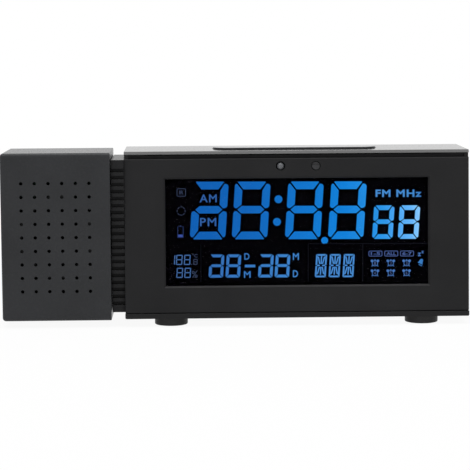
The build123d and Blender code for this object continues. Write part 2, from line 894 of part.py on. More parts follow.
def neck_collar():
    """The ribbed block on the end of the case: a shallow cup with a bearing for the pivot."""
    collar = block(neck_x, neck_y, neck_z)
    hollow_x = (neck_x[0] + neck_face, neck_x[1] + overrun)
    collar -= block(hollow_x, grown(neck_y, -neck_wall), grown(neck_z, -neck_wall))
    boss_x = (neck_x[0] + neck_face - fit_gap, neck_x[1])
    collar += rod_x(boss_x, pivot_y, pivot_z, pivot_radius + run_gap + hub_wall)
    collar -= rod_x(grown(neck_x, overrun), pivot_y, pivot_z, pivot_radius + run_gap)
    pilot_x = (neck_x[0] + neck_face, neck_x[1] + overrun)
    for y, z in neck_boss_places():
        collar += rod_x(boss_x, y, z, neck_boss_radius)
        collar -= rod_x(pilot_x, y, z, board_screw_radius + fit_gap)
    groove_room = length_of(neck_z) - groove_head_margin - groove_foot_margin
    for number in range(int(groove_room / groove_pitch) + 1):
        z = neck_z[1] - groove_head_margin - number * groove_pitch
        for face_y in neck_y:
            groove_y = centred(face_y, 2 * groove_depth)
            collar -= block(grown(neck_x, overrun), groove_y, centred(z, groove_width))
    return collar


def neck_screws():
    turn = Rot(0, 90, 0)
    return group(Pos(inner_x[0], y, z) * turn * board_screw() for y, z in neck_boss_places())


def pivot_tube():
    """The hollow shaft that carries the head, with a flange inside the head's end wall."""
    tube = rod_x(flange_x, pivot_y, pivot_z, pivot_flange_radius)
    tube += rod_x(pivot_x, pivot_y, pivot_z, pivot_radius)
    return tube - rod_x(grown(pivot_x, overrun), pivot_y, pivot_z, pivot_bore_radius)


def friction_washer():
    washer = rod_x(washer_x, pivot_y, pivot_z, washer_radius)
    return washer - rod_x(grown(washer_x, overrun), pivot_y, pivot_z, pivot_radius + slide_gap)


def pivot_retainer():
    ring = rod_x(retainer_x, pivot_y, pivot_z, retainer_radius)
    return ring - rod_x(grown(retainer_x, overrun), pivot_y, pivot_z, pivot_radius + fit_gap)


# Wiring

def wire_loom():
    start = (loom_start_x, pivot_y, pivot_z)
    corner = (loom_turn_x, pivot_y, pivot_z)
    finish = (loom_turn_x, pivot_y, loom_top_z)
    bend = loom_bend_share * (loom_top_z - pivot_z)
    route = FilletPolyline(start, corner, finish, radius=bend)
    section = Plane(origin=start, z_dir=(-1, 0, 0)) * Circle(loom_radius)
    return sweep(section, path=route)


def loom_grommet():
    span = (pivot_x[0], pivot_x[0] + grommet_length)
    plug = rod_x(span, pivot_y, pivot_z, pivot_bore_radius - fit_gap)
    return plug - rod_x(grown(span, overrun), pivot_y, pivot_z, loom_radius + fit_gap)


def case_plug():
    """The wiring socket on the back of the main board, round the end of the loom."""
    axis = panel_plane.to_local_coords(Vector(loom_start_x, pivot_y, pivot_z))
    socket_w = (board_w[0] - plug_depth, board_w[0])
    socket = block(plug_u, centred(axis.Y, plug_height), socket_w)
    well_u = (plug_u[0] - overrun, axis.X + slide_gap)
    well = rod_x(well_u, axis.Y, axis.Z, loom_radius + slide_gap)
    return on_panel(socket - well)


def head_plug():
    """The wiring socket on the front of the projector's board."""
    socket_y = (projector_board_y[0] - plug_depth, projector_board_y[0])
    socket_z = (loom_top_z, loom_top_z + plug_height)
    return block(centred(loom_turn_x, plug_width - plug_entry), socket_y, socket_z)


# Head shells

def head_outline():
    outer = block(head_x, head_y, head_z)
    ends = outer.edges().filter_by(Axis.X) + outer.edges().group_by(Axis.X)[0]
    outer = fillet(ends, head_round)
    return fillet(outer.faces().sort_by(Axis.X)[-1].edges(), head_end_round)


def head_front_half():
    """The stretch of the head in front of its parting line."""
    return block(grown(head_x, overrun), (head_y[0] - overrun, split_y), grown(head_z, overrun))


def head_front_shell():
    shell = (head_outline() - block(*head_inner)) & head_front_half()
    pilot_y = (head_y[1] - shell_screw_length - pilot_spare - length_of((split_y, head_y[1])), head_y[1])
    for x, z in head_post_places:
        post_y = (head_y[0] + head_wall / 2, split_y)
        shell += block(centred(x, head_post_size), post_y, centred(z, head_post_size))
        shell -= rod_y(x, pilot_y, z, shell_screw_radius + fit_gap)
    holes = [
        rod_y(
            head_middle + (column - (grille_columns - 1) / 2) * grille_pitch,
            grown((head_y[0], speaker_y), overrun),
            pivot_z + (row - (grille_rows - 1) / 2) * grille_pitch,
            grille_hole_radius,
        )
        for column in range(grille_columns)
        for row in range(grille_rows)
    ]
    shell -= holes
    end_wall = grown((head_inner[0][1], head_x[1]), overrun)
    return shell - rod_x(end_wall, pivot_y, pivot_z, pivot_radius + fit_gap)


def head_rear_shell():
    """The back of the head, with the screw wells, the focus ring's hole and the projector's posts."""
    shell = (head_outline() - block(*head_inner)) - head_front_half()
    for x, z in head_post_places:
        post_y = (split_y, head_y[1] - head_wall / 2)
        shell += block(centred(x, head_post_size), post_y, centred(z, head_post_size))
        shell -= rod_y(x, (split_y - overrun, head_y[1]), z, shell_screw_radius + fit_gap)
        well_y = (split_y + head_wall, head_y[1] + overrun)
        shell -= rod_y(x, well_y, z, shell_screw_head_radius + fit_gap)
    for x in projector_post_x:
        post_y = (projector_board_y[1], head_inner[1][1] + fit_gap)
        shell += rod_y(x, post_y, projector_z, projector_post_radius)
        pilot_y = (projector_board_y[0], projector_board_y[0] + board_screw_length + pilot_spare)
        shell -= rod_y(x, pilot_y, projector_z, board_screw_radius + fit_gap)
    back_wall = grown((head_inner[1][1], head_y[1]), overrun)
    return shell - rod_y(head_middle, back_wall, projector_z, ring_radius + slide_gap)


def head_screws():
    """Screws sunk in the rear shell's wells, holding both shells together."""
    turn = Rot(-90, 0, 0)
    seat = split_y + head_wall
    return group(Pos(x, seat, z) * turn * shell_screw() for x, z in head_post_places)


# Loudspeaker

def speaker_frame():
    floor_y = speaker_back - speaker_wall
    hole_radius = coil_radius + coil_gap
    outline = [
        (speaker_radius, speaker_y),
        (speaker_radius, speaker_y + speaker_rim_thickness),
        (speaker_radius - speaker_rim_width, speaker_y + speaker_rim_thickness),
        (speaker_back_radius, speaker_back),
        (hole_radius, speaker_back),
        (hole_radius, floor_y),
        (speaker_back_radius - speaker_wall, floor_y),
        (speaker_mouth_radius, speaker_y + speaker_rim_thickness),
        (speaker_mouth_radius, speaker_y),
    ]
    return turned_y(outline, head_middle, pivot_z)


def speaker_cone():
    """The paper cone with its dust dome, as one thin shell."""
    mouth_radius = speaker_mouth_radius - fit_gap
    mouth_y = speaker_y + cone_mouth_setback
    neck_y_place = speaker_y + cone_neck_setback
    dome_y = speaker_y + dome_setback
    outline = [
        (0, dome_y),
        (coil_radius, neck_y_place),
        (mouth_radius, mouth_y),
        (mouth_radius, mouth_y + paper_thickness),
        (coil_radius, neck_y_place + paper_thickness),
        (0, dome_y + paper_thickness),
    ]
    return turned_y(outline, head_middle, pivot_z)


def voice_coil():
    coil_y = (speaker_y + cone_neck_setback + paper_thickness, speaker_back + coil_dip)
    coil = rod_y(head_middle, coil_y, pivot_z, coil_radius)
    return coil - rod_y(head_middle, grown(coil_y, overrun), pivot_z, coil_radius - coil_wall)


def speaker_magnet():
    """The magnet, with the ring groove that the voice coil dips into."""
    magnet_y = (speaker_back, speaker_back + magnet_depth)
    groove_y = (speaker_back - overrun, speaker_back + magnet_groove_depth)
    groove = rod_y(head_middle, groove_y, pivot_z, coil_radius + coil_gap)
    groove -= rod_y(head_middle, groove_y, pivot_z, coil_radius - coil_wall - coil_gap)
    return rod_y(head_middle, magnet_y, pivot_z, magnet_radius) - groove


# Projector

def projector_board():
    board = block(projector_board_x, projector_board_y, centred(projector_z, projector_board_height))
    for x in projector_post_x:
        board -= rod_y(x, grown(projector_board_y, overrun), projector_z, board_screw_radius + fit_gap)
    return board


def projector_screws():
    turn = Rot(90, 0, 0)
    return group(Pos(x, projector_board_y[0], projector_z) * turn * board_screw() for x in projector_post_x)


def projector_lamp():
    stem_y = (projector_board_y[1], projector_board_y[1] + lamp_height - lamp_radius)
    stem = rod_y(head_middle, stem_y, projector_z, lamp_radius)
    dome = Pos(head_middle, stem_y[1], projector_z) * Sphere(lamp_radius)
    front = block(grown(head_x, overrun), (stem_y[0], head_y[1]), head_z)
    return stem + (dome & front)


def projector_tube():
    tube = rod_y(head_middle, tube_y, projector_z, tube_bore_radius + tube_wall)
    return tube - rod_y(head_middle, grown(tube_y, overrun), projector_z, tube_bore_radius)


def projection_lcd():
    """The small display that is thrown on the wall, held by its corners in the projector's tube."""
    lamp_tip = projector_board_y[1] + lamp_height
    room = holder_y[0] - focus_travel - slide_thickness - lamp_tip
    start = lamp_tip + slide_place_share * room
    side = centred(head_middle, slide_size)
    return block(side, (start, start + slide_thickness), centred(projector_z, slide_size))


def lens_holder():
    holder = rod_y(head_middle, holder_y, projector_z, holder_radius)
    bore_radius = holder_radius - holder_wall
    seat_radius = bore_radius - optic_recess
    holder -= rod_y(head_middle, (optic_y[0], holder_y[1] + overrun), projector_z, bore_radius)
    return holder - rod_y(head_middle, grown(holder_y, overrun), projector_z, seat_radius)


def projector_lens():
    """A lens that is flat inwards and bulges outwards."""
    radius = holder_radius - holder_wall - fit_gap
    ball = Pos(head_middle, optic_y[1] - optic_curve_radius, projector_z) * Sphere(optic_curve_radius)
    return rod_y(head_middle, optic_y, projector_z, radius) & ball


def focus_ring():
    """The ring that is turned to focus the image, with finger notches round its rim."""
    ring = rod_y(head_middle, ring_y, projector_z, ring_radius)
    ring += rod_y(head_middle, ring_flange_y, projector_z, ring_radius + ring_flange_reach)
    ring -= rod_y(head_middle, grown(ring_y, overrun), projector_z, holder_radius + slide_gap)
    notch_y = (head_y[1] + slide_gap, ring_y[1] + overrun)
    notch = block(
        centred(0, ring_notch_width),
        notch_y,
        (ring_radius - ring_notch_depth, ring_radius + overrun),
    )
    notches = [
        Pos(head_middle, 0, projector_z) * Rot(0, number * 360 / ring_notch_count, 0) * notch
        for number in range(ring_notch_count)
    ]
    return ring - notches


parts = {
    "main_case": main_case,
    "front_panel": front_panel,
    "display_lens": display_lens,
    "lcd_glass": lcd_glass,
    "lcd_frame": lcd_frame,
    "zebra_strips": zebra_strips,
    "light_guide": light_guide,
    "backlight_leds": backlight_leds,
    "main_board": main_board,
    "controller_chip": controller_chip,
    "tuner_shield": tuner_shield,
    "climate_sensor": climate_sensor,
    "infrared_emitter": infrared_emitter,
    "infrared_receiver": infrared_receiver,
    "board_screws": board_screws,
    "snooze_bar": snooze_bar,
    "snooze_board": snooze_board,
    "snooze_switches": snooze_switches,
    "rear_cover": rear_cover,
    "key_board": key_board,
    "key_switches": key_switches,
    "power_jack": power_jack,
    "aerial_gland": aerial_gland,
    "cover_screws": cover_screws,
    "battery_cells": battery_cells,
    "cell_plates": cell_plates,
    "cell_springs": cell_springs,
    "battery_door": battery_door,
    "front_feet": lambda: feet_row(foot_y[0]),
    "rear_feet": lambda: feet_row(foot_y[1]),
    "neck_collar": neck_collar,
    "neck_screws": neck_screws,
    "pivot_tube": pivot_tube,
    "friction_washer": friction_washer,
    "pivot_retainer": pivot_retainer,
    "wire_loom": wire_loom,
    "loom_grommet": loom_grommet,
    "case_plug": case_plug,
    "head_plug": head_plug,
    "head_front_shell": head_front_shell,
    "head_rear_shell": head_rear_shell,
    "head_screws": head_screws,
    "speaker_frame": speaker_frame,
    "speaker_cone": speaker_cone,
    "voice_coil": voice_coil,
    "speaker_magnet": speaker_magnet,
    "projector_board": projector_board,
    "projector_screws": projector_screws,
    "projector_lamp": projector_lamp,
    "projector_tube": projector_tube,
    "projection_lcd": projection_lcd,
    "lens_holder": lens_holder,
    "projector_lens": projector_lens,
    "focus_ring": focus_ring,
}

os.makedirs("parts", exist_ok=True)
for name, make in parts.items():
    export_step(make(), f"parts/{name}.step")
for name, x in zip(key_names, key_x):
    export_step(rear_key(x), f"parts/{name}.step")
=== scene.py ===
import json
from math import cos, pi, radians, sin, tan

import bmesh
import bpy
from mathutils import Matrix, Vector


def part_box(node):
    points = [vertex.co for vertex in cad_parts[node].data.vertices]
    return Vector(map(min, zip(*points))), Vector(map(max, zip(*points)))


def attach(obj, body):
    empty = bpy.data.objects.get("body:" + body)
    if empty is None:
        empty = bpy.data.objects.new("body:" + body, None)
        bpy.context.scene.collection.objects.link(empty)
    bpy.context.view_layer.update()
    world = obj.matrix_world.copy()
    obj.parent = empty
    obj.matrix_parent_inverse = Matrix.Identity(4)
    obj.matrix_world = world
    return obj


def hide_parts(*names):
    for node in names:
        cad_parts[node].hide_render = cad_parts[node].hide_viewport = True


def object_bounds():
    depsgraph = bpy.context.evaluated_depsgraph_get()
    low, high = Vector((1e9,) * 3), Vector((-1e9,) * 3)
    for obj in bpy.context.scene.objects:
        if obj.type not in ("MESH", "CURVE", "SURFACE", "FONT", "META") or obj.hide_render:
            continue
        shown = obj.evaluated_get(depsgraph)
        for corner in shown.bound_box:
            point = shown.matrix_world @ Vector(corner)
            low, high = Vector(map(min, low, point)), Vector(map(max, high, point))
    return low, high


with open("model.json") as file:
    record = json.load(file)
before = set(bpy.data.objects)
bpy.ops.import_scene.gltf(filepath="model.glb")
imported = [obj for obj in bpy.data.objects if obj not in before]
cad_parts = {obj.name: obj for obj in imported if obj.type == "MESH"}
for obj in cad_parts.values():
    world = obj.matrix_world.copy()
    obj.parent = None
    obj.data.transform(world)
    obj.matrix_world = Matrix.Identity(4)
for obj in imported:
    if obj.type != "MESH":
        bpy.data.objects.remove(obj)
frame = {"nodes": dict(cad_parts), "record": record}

cad_low, cad_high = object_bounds()

# Lengths named here are in millimetres and angles in degrees, unless a name or a heading says otherwise;
# the scene is in metres
MM = 0.001

# Camera, fitted to the photograph's straight edges and grille holes
camera_place = (-19.91, -770.48, 120.44)
camera_pitch = 6.146
camera_yaw = 1.483
camera_roll = 0.355
focal_share = 1750 / 470
sensor_width = 36.0

# Studio
floor_size = 6000.0
lamp_height = 1500.0
lamp_forward = 200.0
lamp_length = 1600.0
lamp_depth = 600.0
lamp_power = 20.0
room_light = 0.35
shadow_share = 0.07
shadow_reach = (120.0, 420.0)

# Display drawing, measured from the middle of the display glass: x to the right and y up
ink_height = 0.08
flat_tolerance = 0.01
display_turn = -0.34
display_slant = 3.6
digit_foot = -3.35
digit_height = 25.05
digit_middle_share = 0.514
digit_width = 15.4
digit_stroke = 3.35
digit_lefts = (-46.5, -28.3, -5.2, 13.55)
colon_places = ((-7.95, 14.0), (-8.6, 4.2))
colon_radius = 1.7
point_place = (12.15, -3.95)
point_radius = 1.5
second_lefts = (32.8, 44.0)
second_height = 14.6
second_width = 8.9
second_stroke = 2.05
date_foot = -20.0
date_height = 10.1
date_width = 6.3
date_stroke = 1.25
date_lefts = (-38.4, -31.05, -16.9, -9.7)
dash_box = (-22.6, -15.55, -18.1, -14.4)
weekday_lefts = (7.85, 13.85, 19.9)
weekday_width = 4.75
weekday_stroke = 0.74
climate_height = 4.4
climate_width = 2.75
climate_stroke = 0.42
climate_pitch = 3.45
temperature_left = -53.0
temperature_foot = -14.4
humidity_left = -52.83
humidity_foot = -20.05
rule_width = 0.35
rule_top = -5.2
rule_foot = -21.8
rule_places = (-41.7, 5.0, 28.8)
rule_ends = (5.0, 57.0)
box_height = 2.2
box_width = 5.7
box_foot = -10.85
box_lefts = (31.45, 38.35, 45.25)
box_round = 0.45
box_words = ("1-5", "ALL", "6-7")
box_word_margins = (0.8, 0.42)
fine_line_width = 0.28
alarm_columns = (34.1, 41.0, 47.9)
alarm_rows = (-13.8, -18.1)
alarm_size = 3.9
bell_place = (54.1, -13.5)
bell_size = 3.0
bell_turn = -24
infrared_box = (-51.95, 15.45, -48.25, 18.65)
infrared_margins = (0.95, 0.75)
signal_place = (-50.2, 9.0)
signal_radius = 1.75
signal_angles = (0, 50, 130, 180, 230, 270, 310)
signal_reach = 16
signal_tick = (1.5, 2.3)
battery_box = (-51.7, -2.55, -49.35, 2.2)
battery_fill = 1.15
battery_margin = 0.2
nub_inset = 0.85
nub_height = 0.4
unit_place = (-45.1, 1.9, 2.6, 0.4)
unit_point = (-45.7, 0.2, 0.22)
degree_box = (-45.4, -11.2, -43.1, -9.6)
number_box = (-0.4, -0.95, 0.4, 0.65)
bold_words = (
    ("FM", (34.3, 14.9, 40.8, 18.1)),
    ("MHz", (43.35, 14.9, 54.3, 18.1)),
)
half_day_words = (
    ("AM", (-42.2, 12.75, -34.75, 16.2)),
    ("PM", (-42.05, 2.4, -34.95, 6.0)),
)
thin_words = (
    ("D", (-22.8, -12.2, -20.6, -9.4)),
    ("M", (-23.0, -20.1, -20.1, -17.2)),
    ("M", (-1.7, -12.4, 0.9, -9.4)),
    ("D", (-1.7, -19.9, 0.5, -16.9)),
)
percent_box = (-45.7, -20.0, -43.1, -17.0)
sleep_boxes = ((52.75, -10.95, 54.2, -9.4), (54.35, -9.65, 55.35, -8.65))

# Segments of a digit, in strokes: how far corners are from its sides, its middle and its top or foot
bar_tips = {"a": (0.37, 0.62), "d": (0.46, 0.4)}
bar_inner_corners = {"a": (1.12, 1.28), "d": (1.2, 1.15)}
bar_tip_cut = (0.06, 0.09)
post_middle_tips = {"b": 0.48, "c": 0.46, "e": 0.34, "f": 0.36}
post_end_tips = {"b": 0.44, "c": 0.24, "e": 0.34, "f": 0.18}
post_middle_rises = (0.48, 0.27, 0.18, 0.2, 0.66)
post_end_drops = (0.6, 0.38, 0.28, 0.3, 1.16)
post_middle_tip_sides = (0.05, 0.08)
post_end_tip_sides = (0.05, 0.09)
post_shoulder_share = 0.3
cross_tips = (0.5, 0.6)
cross_corners = (1.02, 1.12)
cross_half = 0.48

# Inner segments of a lettering cell, in strokes
burst_gap = 0.35
burst_thin = 0.76
burst_bar = 0.85
burst_bar_start = 0.75
burst_spoke_start = (0.8, 0.9)
burst_post_start = 0.8

# Alarm sign and bell, in tenths of their size
alarm_body_rise = -0.4
alarm_body_radius = 3.0
alarm_body_line = 0.7
alarm_bell_place = (3.3, 2.2)
alarm_bell_radius = 1.5
alarm_foot_ends = ((2.2, -2.4), (3.6, -4.0))
alarm_foot_line = 0.8
alarm_knob_rise = 3.4
alarm_knob_radius = 0.7
bell_side = ((0.0, 5.0), (1.7, 4.3), (2.4, 2.6), (2.7, 0.4), (3.4, -1.6), (4.2, -2.5))
bell_rim_ends = ((-1.2, -4.4), (4.2, -4.4))
bell_rim_line = 1.0

# Lettering before it is fitted to its box, in sizes of the font
letter_depth = 1.0
letter_weight = 0.02
bold_weight = 0.03
thin_weight = 0.014
word_spacing = 1.15

# Steps of round shapes and letters
disc_steps = 24
alarm_body_steps = 20
alarm_bell_steps = 14
dot_steps = 10
arc_steps = 10
corner_steps = 5
letter_steps = 4

# Grains and spreads of the materials
noise_spread = (0.3, 0.7)
fine_detail = 3.0
dye_detail = 4.0
plastic_shares = (0.95, 1.05)
plastic_cloud = 25.0
plastic_gloss_grain = 1.2
plastic_gloss_spread = 0.05
edge_samples = 4
crevice_shade_samples = 8
metal_dark_share = 0.85
metal_cloud = 3.0
metal_polish_spread = 0.08
metal_depth = 0.01
clear_dark_share = 0.98
clear_cloud = 12.0
ink_grain = 0.9
ink_shares = (0.97, 1.03)
tracks_per_metre = 260.0
track_gap_share = 0.06
mask_dark_share = 0.9
mask_gloss_grain = 2.0
mask_gloss = (0.3, 0.45)
wrap_band_share = 0.76
wrap_gloss_grain = 3.0
wrap_gloss = (0.22, 0.34)
wrap_metal_share = 0.3
dye_gloss_spread = 0.06
floor_greys = (236, 240)
floor_cloud = 60.0
floor_roughness = 0.9

# Contact springs in the battery bay
spring_length = 3.5
spring_wide_radius = 3.3
spring_tip_radius = 2.1
spring_wire_radius = 0.28
spring_turns = 4.0
spring_steps = 24
wire_sides = 8
cell_row_shares = (1 / 6, 1 / 2, 5 / 6)

# Printed legends on the rear cover
legend_height = 1.9
legend_drop = 6.3
legend_ink = 0.05
legend_letter_share = 0.72


def tone(red, green, blue):
    """A colour given by screen values from 0 to 255, as the renderer's linear colour by the sRGB curve."""
    def linear(value):
        share = value / 255
        return share / 12.92 if share <= 0.04045 else ((share + 0.055) / 1.055) ** 2.4
    return (linear(red), linear(green), linear(blue), 1.0)


# Materials

def new_material(name):
    """A fresh node material and its main shader."""
    material = bpy.data.materials.new(name)
    material.use_nodes = True
    shader = material.node_tree.nodes["Principled BSDF"]
    return material, material.node_tree.nodes, material.node_tree.links, shader


def noise(nodes, links, size, detail=2.0):
    """Noise whose grains are about this many millimetres wide, fixed to the object."""
    place = nodes.new("ShaderNodeTexCoord")
    grain = nodes.new("ShaderNodeTexNoise")
    grain.inputs["Scale"].default_value = 1 / (size * MM)
    grain.inputs["Detail"].default_value = detail
    links.new(place.outputs["Object"], grain.inputs["Vector"])
    return grain.outputs["Fac"]


def stretch(nodes, links, value, low, high):
    """A noise value spread over a range."""
    spread = nodes.new("ShaderNodeMapRange")
    spread.inputs["From Min"].default_value = noise_spread[0]
    spread.inputs["From Max"].default_value = noise_spread[1]
    spread.inputs["To Min"].default_value = low
    spread.inputs["To Max"].default_value = high
    links.new(value, spread.inputs["Value"])
    return spread.outputs["Result"]


def two_tone(nodes, links, value, dark, light):
    """A colour between two, by a value from 0 to 1."""
    mix = nodes.new("ShaderNodeMix")
    mix.data_type = "RGBA"
    mix.inputs["A"].default_value = dark
    mix.inputs["B"].default_value = light
    links.new(value, mix.inputs["Factor"])
    return mix.outputs["Result"]


def roughen(nodes, links, shader, size, depth):
    """A fine surface texture of this grain and depth in millimetres."""
    bump = nodes.new("ShaderNodeBump")
    bump.inputs["Distance"].default_value = depth * MM
    links.new(noise(nodes, links, size, fine_detail), bump.inputs["Height"])
    links.new(bump.outputs["Normal"], shader.inputs["Normal"])
    return bump


def moulded(name, colour, roughness, specular, grain=0.35, depth=0.006, edge=0.0, crevice_shade_reach=0.0):
    """Moulded plastic: uneven colour and gloss, a fine grain, and soft edges and painted shade in crevices
    if given.
    """
    material, nodes, links, shader = new_material(name)
    dark, light = [tone(*[value * share for value in colour]) for share in plastic_shares]
    cloud = stretch(nodes, links, noise(nodes, links, plastic_cloud), 0, 1)
    dye = two_tone(nodes, links, cloud, dark, light)
    if crevice_shade_reach:
        # Painted shade: ambient occlusion darkens the base colour in crevices and grooves within this reach
        shade = nodes.new("ShaderNodeAmbientOcclusion")
        shade.samples = crevice_shade_samples
        shade.inputs["Distance"].default_value = crevice_shade_reach * MM
        links.new(dye, shade.inputs["Color"])
        dye = shade.outputs["Color"]
    links.new(dye, shader.inputs["Base Color"])
    ends = (roughness - plastic_gloss_spread, roughness + plastic_gloss_spread)
    gloss = stretch(nodes, links, noise(nodes, links, plastic_gloss_grain), *ends)
    links.new(gloss, shader.inputs["Roughness"])
    shader.inputs["Specular IOR Level"].default_value = specular
    bump = roughen(nodes, links, shader, grain, depth)
    if edge:
        round_off = nodes.new("ShaderNodeBevel")
        round_off.samples = edge_samples
        round_off.inputs["Radius"].default_value = edge * MM
        links.new(round_off.outputs["Normal"], bump.inputs["Normal"])
    return material


def metal(name, colour, roughness, grain=0.8):
    """Bare metal with a fine uneven polish."""
    material, nodes, links, shader = new_material(name)
    dark = tone(*[value * metal_dark_share for value in colour])
    cloud = stretch(nodes, links, noise(nodes, links, metal_cloud), 0, 1)
    links.new(two_tone(nodes, links, cloud, dark, tone(*colour)), shader.inputs["Base Color"])
    shader.inputs["Metallic"].default_value = 1.0
    ends = (roughness - metal_polish_spread, roughness + metal_polish_spread)
    polish = stretch(nodes, links, noise(nodes, links, grain), *ends)
    links.new(polish, shader.inputs["Roughness"])
    roughen(nodes, links, shader, grain, metal_depth)
    return material


def clear(name, tint, ior):
    """A clear moulding or lens, polished and very slightly uneven in tint."""
    material, nodes, links, shader = new_material(name)
    shader.inputs["Transmission Weight"].default_value = 1.0
    shader.inputs["IOR"].default_value = ior
    dark = tone(*[value * clear_dark_share for value in tint])
    cloud = stretch(nodes, links, noise(nodes, links, clear_cloud), 0, 1)
    links.new(two_tone(nodes, links, cloud, dark, tone(*tint)), shader.inputs["Base Color"])
    shader.inputs["Roughness"].default_value = 0.0
    return material


def along_x(nodes, links, low, high):
    """A value that goes from 0 to 1 between two places along the clock."""
    place = nodes.new("ShaderNodeTexCoord")
    split = nodes.new("ShaderNodeSeparateXYZ")
    links.new(place.outputs["Object"], split.inputs["Vector"])
    share = nodes.new("ShaderNodeMapRange")
    share.inputs["From Min"].default_value = low
    share.inputs["From Max"].default_value = high
    links.new(split.outputs["X"], share.inputs["Value"])
    return share.outputs["Result"]


def lit(name, stops, low, high):
    """Lit display ink, whose colour changes along the display as the backlight does."""
    material, nodes, links, shader = new_material(name)
    ramp = nodes.new("ShaderNodeValToRGB")
    ramp.color_ramp.elements[0].position = stops[0][0]
    ramp.color_ramp.elements[0].color = tone(*stops[0][1])
    ramp.color_ramp.elements[1].position = stops[-1][0]
    ramp.color_ramp.elements[1].color = tone(*stops[-1][1])
    for place, colour in stops[1:-1]:
        ramp.color_ramp.elements.new(place).color = tone(*colour)
    links.new(along_x(nodes, links, low, high), ramp.inputs["Fac"])
    grain = stretch(nodes, links, noise(nodes, links, ink_grain), *ink_shares)
    dimmed = nodes.new("ShaderNodeVectorMath")
    dimmed.operation = "SCALE"
    links.new(ramp.outputs["Color"], dimmed.inputs[0])
    links.new(grain, dimmed.inputs["Scale"])
    links.new(dimmed.outputs["Vector"], shader.inputs["Emission Color"])
    shader.inputs["Emission Strength"].default_value = 1.0
    shader.inputs["Base Color"].default_value = (0, 0, 0, 1)
    shader.inputs["Specular IOR Level"].default_value = 0.0
    shader.inputs["Roughness"].default_value = 1.0
    return material


def circuit(name, mask, trace):
    """Solder mask with the copper tracks showing through it."""
    material, nodes, links, shader = new_material(name)
    place = nodes.new("ShaderNodeTexCoord")
    tracks = nodes.new("ShaderNodeTexBrick")
    tracks.inputs["Scale"].default_value = tracks_per_metre
    tracks.inputs["Mortar Size"].default_value = track_gap_share
    tracks.inputs["Color1"].default_value = tone(*mask)
    tracks.inputs["Color2"].default_value = tone(*[value * mask_dark_share for value in mask])
    tracks.inputs["Mortar"].default_value = tone(*trace)
    turn = nodes.new("ShaderNodeMapping")
    turn.inputs["Rotation"].default_value = (pi / 2, 0, 0)
    links.new(place.outputs["Object"], turn.inputs["Vector"])
    links.new(turn.outputs["Vector"], tracks.inputs["Vector"])
    links.new(tracks.outputs["Color"], shader.inputs["Base Color"])
    gloss = stretch(nodes, links, noise(nodes, links, mask_gloss_grain), *mask_gloss)
    links.new(gloss, shader.inputs["Roughness"])
    return material


def wrapped_cell(name, body, band, low, high):
    """A cell's wrapper: a dark body with a metal-coloured band at one end, and no lettering."""
    material, nodes, links, shader = new_material(name)
    ramp = nodes.new("ShaderNodeValToRGB")
    ramp.color_ramp.interpolation = "CONSTANT"
    ramp.color_ramp.elements[0].color = tone(*body)
    ramp.color_ramp.elements[1].position = wrap_band_share
    ramp.color_ramp.elements[1].color = tone(*band)
    links.new(along_x(nodes, links, low, high), ramp.inputs["Fac"])
    links.new(ramp.outputs["Color"], shader.inputs["Base Color"])
    gloss = stretch(nodes, links, noise(nodes, links, wrap_gloss_grain), *wrap_gloss)
    links.new(gloss, shader.inputs["Roughness"])
    shader.inputs["Metallic"].default_value = wrap_metal_share
    return material


def dyed(name, dark, light, size, roughness, depth, specular=0.25):
    """Rubber, paper, ferrite and sleeving: two tones of one colour in grains of this size."""
    material, nodes, links, shader = new_material(name)
    cloud = stretch(nodes, links, noise(nodes, links, size, dye_detail), 0, 1)
    links.new(two_tone(nodes, links, cloud, tone(*dark), tone(*light)), shader.inputs["Base Color"])
    ends = (roughness - dye_gloss_spread, roughness + dye_gloss_spread)
    gloss = stretch(nodes, links, noise(nodes, links, size * 2), *ends)
    links.new(gloss, shader.inputs["Roughness"])
    shader.inputs["Specular IOR Level"].default_value = specular
    if depth:
        roughen(nodes, links, shader, size, depth)
    return material


glass_low, glass_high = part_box("lcd_glass")
cell_low, cell_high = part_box("battery_cells")
blues = (
    (0.0, (18, 92, 174)),
    (0.34, (20, 103, 187)),
    (0.68, (20, 131, 219)),
    (0.82, (46, 152, 232)),
    (0.92, (102, 185, 252)),
    (0.965, (150, 212, 255)),
)
calendar_blues = (
    (0.09, (66, 104, 158)),
    (0.19, (52, 110, 180)),
    (0.44, (60, 128, 199)),
    (0.64, (73, 138, 207)),
    (0.92, (68, 138, 206)),
    (0.98, (50, 112, 180)),
)
half_day_blues = ((0.0, (48, 92, 156)), (0.3, (50, 96, 162)))
alarm_blues = ((0.75, (66, 112, 178)), (0.95, (72, 118, 184)))
box_blues = ((0.75, (68, 90, 146)), (0.95, (76, 98, 152)))
faint_blues = ((0.0, (56, 66, 90)), (0.12, (46, 56, 78)), (1.0, (66, 86, 130)))
battery_blues = ((0.0, (36, 50, 92)), (0.1, (38, 54, 96)))
level_blues = ((0.0, (54, 74, 150)), (0.1, (58, 80, 158)))
rule_blues = ((0.0, (9, 10, 15)), (1.0, (16, 17, 24)))

